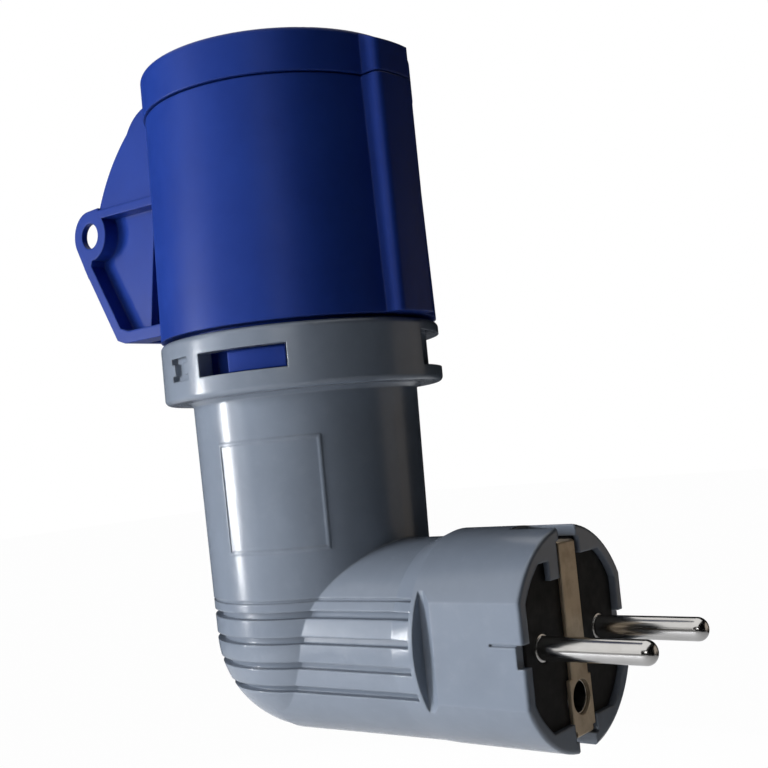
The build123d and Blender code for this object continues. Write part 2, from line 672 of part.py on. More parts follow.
def socket_shroud():
    """The blue socket body: wall, keyway bulge, hinge bracket, shelf and bayonet skirt."""
    body = shroud_wall()
    body += key_strip(KEY_RADIUS, KEY_HALF_WIDTH, KEY_EDGE, (SHROUD_FOOT, SHROUD_SHOULDER))
    body += key_strip(KEY_NECK_RADIUS, KEY_NECK_HALF_WIDTH, LID_KEY_WALL, (SHELF_TOP, SHROUD_MOUTH))
    for tab in bayonet_tabs():
        body += tab
    skin = (SKIRT_BORE + SKIRT_SKIN, SKIRT_RADIUS + OVERCUT)
    for start in WINDOW_STARTS:
        groove = (start - TAB_END, start + TAB_START - TAB_END)
        body -= sector(groove, skin, (SKIRT_FOOT, WINDOW_HEAD + LOOSE))
    body = at_socket(body) + hinge_bracket()
    body -= at_socket(post(MOUTH_RADIUS, (SHELF_TOP, BIG)))
    keyway_x = (AXIS_X, AXIS_X + KEYWAY_RADIUS)
    body -= block(keyway_x, (-KEYWAY_HALF_WIDTH, KEYWAY_HALF_WIDTH), (KEYWAY_FLOOR, BIG))
    for side in (-1, 1):
        body -= post(SCREW_RADIUS + FIT, (SHELF_FOOT, SHELF_TOP), AXIS_X, side * CARRIER_SCREW_CIRCLE)
    return body


def lid_cap():
    """The lid's round cap with its skirt and its own keyway bulge, which slopes down outwards."""
    span = (LID_FOOT, LID_TOP)
    hollow = (LID_FOOT, LID_PLATE_FOOT)
    cap = post(LID_RADIUS, span)
    cap = fillet(cap.edges().group_by(Axis.Z)[-1], LID_EDGE)
    slope_start = LID_RADIUS - LID_EDGE
    slope = turned([
        (slope_start, LID_TOP),
        (KEY_RADIUS + OVERCUT, LID_TOP - LID_KEY_DROP),
        (KEY_RADIUS + OVERCUT, LID_TOP + OVERCUT),
        (slope_start, LID_TOP + OVERCUT),
    ])
    cap += key_strip(KEY_RADIUS - SEAT, KEY_HALF_WIDTH, KEY_EDGE, span) - slope
    cap -= post(LID_BORE, hollow)
    key_half = KEY_HALF_WIDTH - LID_KEY_WALL
    cap -= block((0, KEY_RADIUS - LID_KEY_WALL - SEAT), (-key_half, key_half), hollow)
    notch_half = BRACKET_HALF_WIDTH + LID_SWING_GAP
    notch = block((-BIG, 0), (-notch_half, notch_half), (0, BIG)) - post(LID_NOTCH_RADIUS, (0, BIG))
    return at_socket(cap - notch)


def lid_arms():
    """The lid's two hinge arms, which reach between the bracket's cheeks to the pin."""
    barrel = LID_BARREL_RADIUS
    wrap = math.radians(ARM_WRAP)
    wide, rise = barrel * math.cos(wrap), barrel * math.sin(wrap)
    under_out, under_drop = ARM_UNDERCUT
    outline = [
        (LID_NOTCH_RADIUS, LID_PLATE_FOOT + SEAT),
        (LID_NOTCH_RADIUS - ARM_ROOT, LID_PLATE_FOOT + SEAT),
        (LID_NOTCH_RADIUS - ARM_ROOT, LID_TOP),
        (HINGE_OUT - ARM_CROWN, LID_TOP),
        from_hinge(wide, rise),
        (HINGE_OUT, HINGE_UP),
        from_hinge(-wide, rise),
        (LID_NOTCH_RADIUS + under_out, LID_PLATE_FOOT - under_drop),
    ]
    arms = []
    for side in (-1, 1):
        span = mirrored_span(side, LID_ARM_INSIDE, BRACKET_SLOT - LOOSE)
        arm = bracket_slab(outline, span) + axle(barrel, span, HINGE_X, HINGE_UP)
        arms.append(arm - axle(HINGE_RADIUS + HINGE_FIT, span, HINGE_X, HINGE_UP))
    return arms


def lid():
    """The whole lid."""
    body = lid_cap()
    for arm in lid_arms():
        body += arm
    return body


def lid_gasket():
    """The flat ring under the lid that closes on the shroud's mouth."""
    span = (SHROUD_MOUTH + LOOSE, LID_PLATE_FOOT)
    return at_socket(post(LID_NOTCH_RADIUS - SEAT, span) - post(MOUTH_RADIUS + SEAT, span))


def lid_hinge_pin():
    """The lid's hinge pin, pressed in from the far cheek."""
    half = BRACKET_HALF_WIDTH
    span = (-half + BRACKET_WALL + SEAT, half - CHEEK_RECESS - SEAT)
    return axle(HINGE_RADIUS, span, HINGE_X, HINGE_UP)


def lid_spring():
    """The torsion spring that closes the lid: a coil round the pin with two straight legs."""
    height = SPRING_PITCH * SPRING_TURNS
    coil = Helix(SPRING_PITCH, height, SPRING_COIL)
    lead_in = Line(coil @ 0 - (coil % 0) * SPRING_LEG, coil @ 0)
    lead_out = Line(coil @ 1, coil @ 1 + (coil % 1) * SPRING_LEG)
    path = Wire([lead_in.edge(), coil.edge(), lead_out.edge()])
    start = Plane(origin=path @ 0, z_dir=path % 0)
    wire = sweep(start * Circle(SPRING_WIRE), path=path, is_frenet=True)
    place = Plane(origin=(HINGE_X, -height / 2, HINGE_UP), x_dir=(0, 0, -1), z_dir=(0, 1, 0))
    return place * wire


def contact_places():
    """Where each contact stands about the socket's axis, with its bore."""
    third = math.radians(120)
    places = {"earth": (CONTACT_CIRCLE, 0.0, EARTH_CONTACT_BORE)}
    for name, side in PIN_SIDES.items():
        x = CONTACT_CIRCLE * math.cos(third)
        places[name] = (x, side * CONTACT_CIRCLE * math.sin(third), CONTACT_BORE)
    return {name: (AXIS_X + x, y, bore) for name, (x, y, bore) in places.items()}


def contact(x, y, bore):
    """A slit contact tube with its flange and the wire terminal below it."""
    outside = bore + CONTACT_WALL
    body = post(outside, (SHELF_TOP, CONTACT_TOP), x, y)
    body += post(outside + CONTACT_WALL, (CONTACT_FOOT, SHELF_TOP), x, y)
    body += post(TAIL_RADIUS, (TAIL_FOOT, CONTACT_FOOT), x, y)
    body -= post(bore, (SHELF_TOP + CONTACT_ROOT, CONTACT_TOP), x, y)
    half = CONTACT_SLIT / 2
    slit_z = (CONTACT_TOP - CONTACT_SLIT_LENGTH, CONTACT_TOP)
    body -= block((x - outside, x + outside), (y - half, y + half), slit_z)
    body -= block((x - half, x + half), (y - outside, y + outside), slit_z)
    body -= post(LEAD_HOLE, (TAIL_FOOT, TAIL_FOOT + 2 * LEAD_GRIP), x, y)
    return body - contact_screw(x, y, SCREW_RADIUS + THREAD, 0.0)


def contact_screw(x, y, radius, slot):
    """A grub screw that points at the contact's wire hole from outside the socket's circle."""
    height = TAIL_FOOT + LEAD_GRIP / 2 + SCREW_RADIUS / 2
    turn = math.degrees(math.atan2(y, x - AXIS_X))
    tip = LEAD_RADIUS + SEAT
    length = TAIL_RADIUS + GRUB_STAND - tip
    grub = Rot(0, 90, 0) * Cylinder(radius, length)
    if slot:
        grub -= Pos(length / 2, 0, 0) * Box(slot, slot, 2 * radius)
    return Pos(x, y, height) * Rot(0, 0, turn) * Pos(tip + length / 2, 0, 0) * grub


def contact_carrier():
    """The insulating core that holds the three contacts."""
    body = post(CARRIER_RADIUS, (SHELF_TOP, CARRIER_TOP))
    body += post(MOUTH_RADIUS - LOOSE, (SHELF_TOP, SHELF_TOP + CARRIER_FLANGE))
    body = fillet(body.edges().group_by(Axis.Z)[-1], CARRIER_LIP / 2)
    body = at_socket(body)
    for x, y, bore in contact_places().values():
        body -= post(bore + CONTACT_WALL + FIT, (SHELF_TOP, CARRIER_TOP - CARRIER_LIP), x, y)
        body -= post(bore + LOOSE, (SHELF_TOP, CARRIER_TOP), x, y)
    body -= post(SCREW_RADIUS + THREAD, (SHELF_TOP, SHELF_TOP + RETAINER_SCREW_DEPTH), AXIS_X)
    for side in (-1, 1):
        hole = (SHELF_TOP, SHELF_TOP + CARRIER_FLANGE - SCREW_SKIN)
        body -= post(SCREW_RADIUS + THREAD, hole, AXIS_X, side * CARRIER_SCREW_CIRCLE)
    return body


def contact_retainer():
    """The plate that keeps the contacts' flanges against the carrier."""
    span = (RETAINER_FOOT, RETAINER_TOP)
    plate = at_socket(post(SHELF_OPENING - LOOSE, span))
    for x, y, _ in contact_places().values():
        plate -= post(TAIL_RADIUS + FIT, span, x, y)
    return plate - post(SCREW_RADIUS + FIT, span, AXIS_X)


def screw(length):
    """A slotted pan-head screw: head downwards from the origin, shank upwards."""
    body = post(SCREW_RADIUS, (0, length)) + post(SCREW_HEAD_RADIUS, (-SCREW_HEAD_HEIGHT, 0))
    half = DRIVER_SLOT / 2
    reach = (-SCREW_HEAD_RADIUS, SCREW_HEAD_RADIUS)
    return body - block(reach, (-half, half), (-SCREW_HEAD_HEIGHT, -SCREW_HEAD_HEIGHT / 2))


def retainer_screw():
    """The middle screw of the contact retainer."""
    length = SHELF_TOP + RETAINER_SCREW_DEPTH - SCREW_END - RETAINER_FOOT
    return Pos(AXIS_X, 0, RETAINER_FOOT) * screw(length)


def carrier_screws():
    """The two screws that hold the carrier down on the shroud's shelf."""
    length = SHELF_THICKNESS + CARRIER_FLANGE - SCREW_SKIN - SCREW_END
    return [Pos(AXIS_X, side * CARRIER_SCREW_CIRCLE, SHELF_FOOT) * screw(length) for side in (-1, 1)]


def lead(points):
    """An insulated lead along straight runs and one round bend."""
    path = FilletPolyline(*points, radius=LEAD_BEND)
    section = Plane(origin=path @ 0, z_dir=path % 0) * Circle(LEAD_RADIUS)
    return sweep(section, path=path)


def leads():
    """The three leads from the plug's terminals to the socket's contacts."""
    top = TAIL_FOOT + 2 * LEAD_GRIP - SEAT
    made = {}
    for name, (x, y, _) in contact_places().items():
        if name == "earth":
            start_x = INSERT_FRONT - EARTH_HOLE_DEPTH - SLEEVE_TAIL + LEAD_GRIP
            start = (start_x, y, -EARTH_HOLE_DROP)
        else:
            start = (-INSERT_DEPTH - TERMINAL_LENGTH + LEAD_GRIP, PIN_SIDES[name] * PIN_PITCH / 2, 0.0)
        made[name] = lead([start, (x, y, start[2]), (x, y, top)])
    return made


def plug_insert():
    """The black insert that carries the pins, with grooves for the earth strap's side clips."""
    body = face_outline(INSERT_RADIUS, INSERT_HALF_WIDTH, (-INSERT_DEPTH, INSERT_FRONT))
    clip_x = (CLIP_BACK - LOOSE, INSERT_FRONT)
    for side in (-1, 1):
        clip_z = mirrored_span(side, CLIP_HEIGHT, BIG)
        body -= block(clip_x, (-CLIP_HALF_ROOM, CLIP_HALF_ROOM), clip_z)
        body -= rod(PIN_ROOT_RADIUS + THREAD, (-INSERT_DEPTH, INSERT_FRONT), side * PIN_PITCH / 2)
    return body - rod(SLEEVE_RADIUS + THREAD, (-INSERT_DEPTH, INSERT_FRONT), z=-EARTH_HOLE_DROP)


def plug_pin(side):
    """A plug pin with a rounded end, a thicker root in the insert and a block terminal behind it."""
    y = side * PIN_PITCH / 2
    shank = rod(PIN_RADIUS, (INSERT_FRONT, PIN_LENGTH), y)
    shank = fillet(shank.edges().group_by(Axis.X)[-1], PIN_DOME)
    half = TERMINAL_SIZE / 2
    back = -INSERT_DEPTH - TERMINAL_LENGTH
    body = shank + rod(PIN_ROOT_RADIUS, (-INSERT_DEPTH, INSERT_FRONT), y)
    body += block((back, -INSERT_DEPTH), (y - half, y + half), (-half, half))
    body -= rod(LEAD_HOLE, (back, back + LEAD_GRIP + LEAD_HOLE_END), y)
    return body - pin_screw(side, SCREW_RADIUS + THREAD, 0.0)


def pin_screw(side, radius, slot):
    """The grub screw of a pin's terminal, from above."""
    x = -INSERT_DEPTH - TERMINAL_LENGTH + LEAD_GRIP / 2
    y = side * PIN_PITCH / 2
    top = TERMINAL_SIZE / 2 + GRUB_STAND
    body = post(radius, (LEAD_RADIUS + SEAT, top), x, y)
    if slot:
        body -= block((x - radius, x + radius), (y - slot / 2, y + slot / 2), (top - slot, top))
    return body


def earth_strap():
    """The bent earth strap: the strip across the face, its wide eyelet and the two side clips."""
    half = STRAP_WIDTH / 2
    front = INSERT_FRONT + STRAP_THICKNESS
    top = CLIP_HEIGHT + STRAP_THICKNESS
    strip_x = (INSERT_FRONT, front)
    wide = STRAP_EYELET_WIDTH / 2
    low, high = (reach - EARTH_HOLE_DROP for reach in STRAP_EYELET_REACH)
    body = block(strip_x, (-half, half), (-top, top))
    body += block(strip_x, (-wide, wide), (low, high))
    body -= rod(EARTH_HOLE_RADIUS + LOOSE, strip_x, z=-EARTH_HOLE_DROP)
    for side in (-1, 1):
        body += block((CLIP_BACK, front), (-half, half), mirrored_span(side, CLIP_HEIGHT, top))
    bends = body.edges().filter_by(Axis.Y).group_by(Axis.X)[-1].sort_by(Axis.Z)
    return fillet([bends[0], bends[-1]], STRAP_BEND)


def earth_sleeve():
    """The tube that takes the wall socket's earth pin, with a crimp tail for the earth lead."""
    z = -EARTH_HOLE_DROP
    floor = INSERT_FRONT - EARTH_HOLE_DEPTH
    back = floor - SLEEVE_TAIL
    body = rod(SLEEVE_RADIUS, (floor - SLEEVE_FLOOR, INSERT_FRONT), z=z)
    body += rod(LEAD_HOLE + SLEEVE_WALL, (back, floor - SLEEVE_FLOOR), z=z)
    body -= rod(EARTH_HOLE_RADIUS, (floor, INSERT_FRONT), z=z)
    return body - rod(LEAD_HOLE, (back, back + LEAD_GRIP + LEAD_HOLE_END), z=z)


def build_nodes():
    """Every piece of the adapter, by its name."""
    places = contact_places()
    wires = leads()
    nodes = {
        "angle_housing": angle_housing(),
        "shroud_seal": shroud_seal(),
        "socket_shroud": socket_shroud(),
        "lid": lid(),
        "lid_gasket": lid_gasket(),
        "lid_hinge_pin": lid_hinge_pin(),
        "lid_spring": lid_spring(),
        "contact_carrier": contact_carrier(),
        "contact_retainer": contact_retainer(),
        "retainer_screw": retainer_screw(),
        "carrier_screws": Compound(children=carrier_screws()),
        "plug_insert": plug_insert(),
        "earth_strap": earth_strap(),
        "earth_sleeve": earth_sleeve(),
    }
    for name, place in places.items():
        nodes[f"{name}_contact"] = contact(*place)
        nodes[f"{name}_lead"] = wires[name]
    for name, side in PIN_SIDES.items():
        nodes[f"{name}_pin"] = plug_pin(side)
    grubs = [contact_screw(x, y, SCREW_RADIUS, DRIVER_SLOT) for x, y, _ in places.values()]
    nodes["contact_screws"] = Compound(children=grubs)
    nodes["pin_screws"] = Compound(children=[pin_screw(side, SCREW_RADIUS, DRIVER_SLOT) for side in (-1, 1)])
    return nodes


os.makedirs("parts", exist_ok=True)
for node, shape in build_nodes().items():
    export_step(shape, f"parts/{node}.step")
    print(node, round(shape.volume, 1))
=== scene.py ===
"""Looks of a right-angle mains adapter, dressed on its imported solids.

A grey elbow carries an earthed wall plug, and a blue round socket with a sprung lid stands on it.
The shared frame is in metres: the origin is the middle of the plug's face, +X is the way the pins
point and +Z is up along the socket's axis.
"""

from __future__ import annotations

import logging
import math
from dataclasses import dataclass, field
from enum import Enum

import bpy
from mathutils import Matrix, Vector

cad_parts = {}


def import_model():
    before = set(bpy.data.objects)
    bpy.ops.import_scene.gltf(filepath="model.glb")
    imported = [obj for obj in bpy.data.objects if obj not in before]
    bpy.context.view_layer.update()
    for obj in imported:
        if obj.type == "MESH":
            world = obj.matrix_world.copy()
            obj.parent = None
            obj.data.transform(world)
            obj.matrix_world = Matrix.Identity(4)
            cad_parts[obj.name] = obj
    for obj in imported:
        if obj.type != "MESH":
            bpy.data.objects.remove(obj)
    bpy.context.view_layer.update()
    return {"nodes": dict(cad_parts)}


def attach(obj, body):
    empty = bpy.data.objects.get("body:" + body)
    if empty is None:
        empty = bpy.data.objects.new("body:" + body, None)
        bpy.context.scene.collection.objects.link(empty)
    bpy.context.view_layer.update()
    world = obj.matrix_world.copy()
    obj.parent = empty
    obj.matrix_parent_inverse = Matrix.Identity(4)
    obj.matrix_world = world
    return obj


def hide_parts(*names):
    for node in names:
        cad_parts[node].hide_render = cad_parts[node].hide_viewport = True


LOG = logging.getLogger("adapter")
MM = 0.001
WHITE = "#FFFFFF"
NOISE_ROUGHNESS = 0.55

Colour = tuple[float, float, float, float]
Wiring = dict[str | int, object]
Span = tuple[float, float]
Point = tuple[float, float, float]


class Body(Enum):
    """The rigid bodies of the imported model."""

    ADAPTER = "adapter"
    LID = "lid"


class Slot(Enum):
    """Material slot names, one listed with each piece."""

    GREY_HOUSING = "grey_housing"
    BLUE_SOCKET = "blue_socket"
    BLACK_INSERT = "black_insert"
    NICKEL_PINS = "nickel_pins"
    TINNED_STRAP = "tinned_strap"
    BRASS_CONTACTS = "brass_contacts"
    STEEL = "steel"
    BLACK_RUBBER = "black_rubber"
    BROWN_LEAD = "brown_lead"
    BLUE_LEAD = "blue_lead"
    GREEN_LEAD = "green_lead"


def linear(hex_colour: str) -> Colour:
    """Turn an sRGB hex colour into the linear colour that shaders use, by the sRGB curve.

    Args:
        hex_colour: Six hex digits after a hash sign.

    Returns:
        Linear red, green, blue and an alpha of one.
    """
    parts = [int(hex_colour[i : i + 2], 16) / 255 for i in (1, 3, 5)]
    red, green, blue = (
        p / 12.92 if p <= 0.04045 else ((p + 0.055) / 1.055) ** 2.4 for p in parts
    )
    return red, green, blue, 1.0


def per_metre(feature_mm: float) -> float:
    """Give a pattern's scale from the width of one of its features in millimetres."""
    return 1 / (feature_mm * MM)


def add_node(
    tree: bpy.types.NodeTree, kind: str, inputs: Wiring | None = None, **settings: object
) -> bpy.types.Node:
    """Add one node, give it its settings, and set or link its inputs.

    Args:
        tree: The node tree that gets the node.
        kind: Blender's name for the node type.
        inputs: Input name or number, with a value or the socket that feeds it.
        **settings: Properties of the node itself.

    Returns:
        The new node.
    """
    node = tree.nodes.new(kind)
    for key, value in settings.items():
        setattr(node, key, value)
    for key, value in (inputs or {}).items():
        if isinstance(value, bpy.types.NodeSocket):
            tree.links.new(value, node.inputs[key])
        else:
            node.inputs[key].default_value = value
    return node


def empty_material(name: str) -> tuple[bpy.types.Material, bpy.types.NodeTree]:
    """Make a material with an empty node tree.

    Args:
        name: What the real material is.

    Returns:
        The material and its tree.
    """
    material = bpy.data.materials.new(name)
    material.use_nodes = True
    material.node_tree.nodes.clear()
    return material, material.node_tree


@dataclass(frozen=True)
class Moulding:
    """Injection-moulded plastic: an even colour with faint clouds, paler edges of rubbed wear and
    painted highlight, and a spark grain.

    A real mould's grain is about a tenth of a millimetre; it is drawn coarser so that it shows.
    """

    name: str
    colour: str
    cloud: str
    # Pale tone of the scuffs, and of the sharp edges, where it is partly a painted highlight.
    wear_and_highlight_tone: str
    roughness: float
    roughness_spread: float
    ior: float = 1.52
    sheen: float = 0.5
    cloud_mm: float = 13.0
    cloud_detail: float = 4.0
    cloud_span: Span = (0.35, 0.70)
    cloud_share: float = 0.55
    scuff_mm: float = 2.2
    scuff_detail: float = 4.0
    scuff_span: Span = (0.52, 0.80)
    scuff_share: float = 0.12
    gloss_span: Span = (0.30, 0.70)
    edge_mm: float = 0.55
    edge_samples: int = 6
    edge_span: Span = (0.98, 0.80)
    break_span: Span = (0.35, 0.60)
    break_least: float = 0.25
    edge_wear_and_highlight_share: float = 0.45
    grain_mm: float = 0.45
    grain_detail: float = 2.0
    grain_height_mm: float = 0.010
    ripple_mm: float = 6.0
    ripple_detail: float = 1.0
    ripple_height_mm: float = 0.020

    def build(self) -> bpy.types.Material:
        """Make the material.

        Returns:
            The plastic, on the place of each point of the piece.
        """
        material, tree = empty_material(self.name)
        place = add_node(tree, "ShaderNodeTexCoord").outputs["Object"]
        scuffs = add_node(tree, "ShaderNodeTexNoise", {
            "Vector": place,
            "Scale": per_metre(self.scuff_mm),
            "Detail": self.scuff_detail,
            "Roughness": NOISE_ROUGHNESS,
        }).outputs["Fac"]
        rounded = add_node(
            tree, "ShaderNodeBevel", {"Radius": self.edge_mm * MM}, samples=self.edge_samples
        ).outputs["Normal"]
        rough = add_node(tree, "ShaderNodeMapRange", {
            "Value": scuffs,
            "From Min": self.gloss_span[0],
            "From Max": self.gloss_span[1],
            "To Min": self.roughness - self.roughness_spread,
            "To Max": self.roughness + self.roughness_spread,
        }).outputs["Result"]
        # Sharp edges take the pale tone: partly rubbed wear, partly a painted edge highlight.
        skin = add_node(tree, "ShaderNodeMix", {
            "Factor": self.edge_wear_and_highlight(tree, rounded, scuffs),
            6: self.scuffed_colour(tree, place, scuffs),
            7: linear(self.wear_and_highlight_tone),
        }, data_type="RGBA").outputs[2]
        bsdf = add_node(tree, "ShaderNodeBsdfPrincipled", {
            "Base Color": skin,
            "Roughness": rough,
            "IOR": self.ior,
            "Specular IOR Level": self.sheen,
            "Normal": self.relief(tree, place, rounded),
        })
        add_node(tree, "ShaderNodeOutputMaterial", {"Surface": bsdf.outputs["BSDF"]})
        return material

    def scuffed_colour(
        self, tree: bpy.types.NodeTree, place: bpy.types.NodeSocket, scuffs: bpy.types.NodeSocket
    ) -> bpy.types.NodeSocket:
        """Cloud the plastic's colour, and pale it where it is scuffed.

        Args:
            tree: The node tree.
            place: Where on the piece the point lies.
            scuffs: Noise of the scuffs' size.

        Returns:
            The colour before its edges get the paler tone of wear and painted highlight.
        """
        clouds = add_node(tree, "ShaderNodeTexNoise", {
            "Vector": place,
            "Scale": per_metre(self.cloud_mm),
            "Detail": self.cloud_detail,
            "Roughness": NOISE_ROUGHNESS,
        }).outputs["Fac"]
        cloud_share = add_node(tree, "ShaderNodeMapRange", {
            "Value": clouds,
            "From Min": self.cloud_span[0],
            "From Max": self.cloud_span[1],
            "To Min": 0.0,
            "To Max": self.cloud_share,
        }).outputs["Result"]
        clouded = add_node(tree, "ShaderNodeMix", {
            "Factor": cloud_share,
            6: linear(self.colour),
            7: linear(self.cloud),
        }, data_type="RGBA").outputs[2]
        scuff_share = add_node(tree, "ShaderNodeMapRange", {
            "Value": scuffs,
            "From Min": self.scuff_span[0],
            "From Max": self.scuff_span[1],
            "To Min": 0.0,
            "To Max": self.scuff_share,
        }).outputs["Result"]
        return add_node(tree, "ShaderNodeMix", {
            "Factor": scuff_share,
            6: clouded,
            7: linear(self.wear_and_highlight_tone),
        }, data_type="RGBA").outputs[2]

    def edge_wear_and_highlight(
        self, tree: bpy.types.NodeTree, rounded: bpy.types.NodeSocket, scuffs: bpy.types.NodeSocket
    ) -> bpy.types.NodeSocket:
        """Find the edges that get a paler tone, partly rubbed wear and partly a painted highlight,
        from how far a rounded normal leaves the true one.

        Args:
            tree: The node tree.
            rounded: The normal of the rounded edges.
            scuffs: Noise that breaks the paler edge line up.

        Returns:
            How much the paler edge tone of wear and painted highlight shows.
        """
        true = add_node(tree, "ShaderNodeNewGeometry").outputs["Normal"]
        along = add_node(
            tree, "ShaderNodeVectorMath", {0: rounded, 1: true}, operation="DOT_PRODUCT"
        ).outputs["Value"]
        turned = add_node(tree, "ShaderNodeMapRange", {
            "Value": along,
            "From Min": self.edge_span[0],
            "From Max": self.edge_span[1],
            "To Min": 0.0,
            "To Max": self.edge_wear_and_highlight_share,
        }).outputs["Result"]
        broken = add_node(tree, "ShaderNodeMapRange", {
            "Value": scuffs,
            "From Min": self.break_span[0],
            "From Max": self.break_span[1],
            "To Min": self.break_least,
            "To Max": 1.0,
        }).outputs["Result"]
        worn_and_highlit = add_node(tree, "ShaderNodeMath", {0: turned, 1: broken}, operation="MULTIPLY")
        return worn_and_highlit.outputs["Value"]

    def relief(
        self, tree: bpy.types.NodeTree, place: bpy.types.NodeSocket, rounded: bpy.types.NodeSocket
    ) -> bpy.types.NodeSocket:
        """Raise the mould's spark grain on the slow sink ripples of a thick wall.

        Args:
            tree: The node tree.
            place: Where on the piece the point lies.
            rounded: The normal of the rounded edges.

        Returns:
            The surface normal.
        """
        normal = rounded
        for feature_mm, detail, height_mm in (
            (self.ripple_mm, self.ripple_detail, self.ripple_height_mm),
            (self.grain_mm, self.grain_detail, self.grain_height_mm),
        ):
            height = add_node(tree, "ShaderNodeTexNoise", {
                "Vector": place,
                "Scale": per_metre(feature_mm),
                "Detail": detail,
                "Roughness": NOISE_ROUGHNESS,
            }).outputs["Fac"]
            normal = add_node(tree, "ShaderNodeBump", {
                "Height": height,
                "Distance": height_mm * MM,
                "Strength": 1.0,
                "Normal": normal,
            }).outputs["Normal"]
        return normal


@dataclass(frozen=True)
class Plating:
    """Plated or bare metal with drawing lines along one axis and faint tarnish clouds."""

    name: str
    colour: str
    tarnish: str
    roughness: float
    roughness_spread: float
    line_run: Point = (0.04, 1.0, 1.0)
    line_mm: float = 0.25
    line_detail: float = 2.0
    line_height_mm: float = 0.004
    gloss_span: Span = (0.30, 0.70)
    tarnish_mm: float = 4.0
    tarnish_detail: float = 5.0
    tarnish_span: Span = (0.42, 0.72)
    tarnish_share: float = 0.5
    metallic: float = 1.0

    def build(self) -> bpy.types.Material:
        """Make the material.

        Returns:
            The metal, on the place of each point of the piece.
        """
        material, tree = empty_material(self.name)
        place = add_node(tree, "ShaderNodeTexCoord").outputs["Object"]
        run = add_node(
            tree, "ShaderNodeMapping", {"Vector": place, "Scale": Vector(self.line_run)}
        ).outputs["Vector"]
        lines = add_node(tree, "ShaderNodeTexNoise", {
            "Vector": run,
            "Scale": per_metre(self.line_mm),
            "Detail": self.line_detail,
            "Roughness": NOISE_ROUGHNESS,
        }).outputs["Fac"]
        rough = add_node(tree, "ShaderNodeMapRange", {
            "Value": lines,
            "From Min": self.gloss_span[0],
            "From Max": self.gloss_span[1],
            "To Min": self.roughness - self.roughness_spread,
            "To Max": self.roughness + self.roughness_spread,
        }).outputs["Result"]
        drawn = add_node(tree, "ShaderNodeBump", {
            "Height": lines,
            "Distance": self.line_height_mm * MM,
            "Strength": 1.0,
        }).outputs["Normal"]
        bsdf = add_node(tree, "ShaderNodeBsdfPrincipled", {
            "Base Color": self.tarnished_colour(tree, place),
            "Metallic": self.metallic,
            "Roughness": rough,
            "Normal": drawn,
        })
        add_node(tree, "ShaderNodeOutputMaterial", {"Surface": bsdf.outputs["BSDF"]})
        return material

    def tarnished_colour(
        self, tree: bpy.types.NodeTree, place: bpy.types.NodeSocket
    ) -> bpy.types.NodeSocket:
        """Cloud the metal's colour with tarnish.

        Args:
            tree: The node tree.
            place: Where on the piece the point lies.

        Returns:
            The clouded colour.
        """
        clouds = add_node(tree, "ShaderNodeTexNoise", {
            "Vector": place,
            "Scale": per_metre(self.tarnish_mm),
            "Detail": self.tarnish_detail,
            "Roughness": NOISE_ROUGHNESS,
        }).outputs["Fac"]
        share = add_node(tree, "ShaderNodeMapRange", {
            "Value": clouds,
            "From Min": self.tarnish_span[0],
            "From Max": self.tarnish_span[1],
            "To Min": 0.0,
            "To Max": self.tarnish_share,
        }).outputs["Result"]
        return add_node(tree, "ShaderNodeMix", {
            "Factor": share,
            6: linear(self.colour),
            7: linear(self.tarnish),
        }, data_type="RGBA").outputs[2]


class Finish(Enum):
    """Every finish of the adapter."""

    # Glass-filled polyamide with a half-gloss skin from the tool: cool grey, with glare where lit.
    GREY_POLYAMIDE = Moulding(
        "grey_moulded_polyamide", "#838C98", "#79818C", "#9AA2AC", 0.22, 0.04
    )
    # Polyamide in signal blue: duller than the grey and very even in colour.
    BLUE_POLYAMIDE = Moulding(
        "blue_moulded_polyamide",
        "#1E3988",
        "#193079",
        "#334D98",
        0.40,
        0.04,
        sheen=0.2,
        scuff_share=0.06,
        edge_wear_and_highlight_share=0.22,
    )
    # Phenolic moulding: near black with a brown cast and a dull skin.
    BLACK_PHENOLIC = Moulding(
        "black_phenolic_moulding",
        "#0D0C0C",
        "#131111",
        "#242120",
        0.60,
        0.08,
        sheen=0.2,
        edge_wear_and_highlight_share=0.2,
    )
    # Bright nickel over turned brass: a cool mirror with hairlines along the pin.
    BRIGHT_NICKEL = Plating(
        "bright_nickel_plate", "#CFCDCA", "#ACA9A4", 0.18, 0.05, tarnish_share=0.35
    )
    # Tin over spring brass: dull, and browned where the tin has worn.
    DULL_TIN = Plating(
        "dull_tinned_brass",
        "#C6B49A",
        "#8E7961",
        0.42,
        0.08,
        line_run=(1.0, 1.0, 0.05),
        tarnish_share=0.7,
        metallic=0.7,
    )
    # Turned brass with the marks of the lathe across its length.
    TURNED_BRASS = Plating(
        "turned_brass", "#C8A052", "#8E6B30", 0.26, 0.06, line_run=(0.1, 0.1, 1.0)
    )
    # Zinc-plated steel of screws, hinge pin and spring: a cool grey with a soft shine.
    ZINC_STEEL = Plating("zinc_plated_steel", "#B9BBBD", "#8D8F90", 0.28, 0.06)
    # Soft nitrile rubber of the seals: black and dull.
    NITRILE = Moulding(
        "nitrile_rubber",
        "#1B1B1C",
        "#242425",
        "#3A3A3B",
        0.68,
        0.08,
        grain_mm=0.3,
        edge_wear_and_highlight_share=0.2,
    )
    # Cable sheath in the three colours of the leads, with the half-dull skin of soft vinyl.
    BROWN_SHEATH = Moulding("brown_cable_sheath", "#5A3420", "#4A2A1A", "#7A5238", 0.45, 0.06)
    BLUE_SHEATH = Moulding("blue_cable_sheath", "#2F6FC0", "#285FA8", "#5B8FD0", 0.45, 0.06)
    GREEN_SHEATH = Moulding(
        "green_yellow_cable_sheath",
        "#4E8C2A",
        "#D6C832",
        "#E2DA6A",
        0.45,
        0.06,
        cloud_mm=4.0,
        cloud_share=1.0,
    )

    def build(self) -> bpy.types.Material:
        """Give the material, made once."""
        made = bpy.data.materials.get(self.value.name)
        return made or self.value.build()


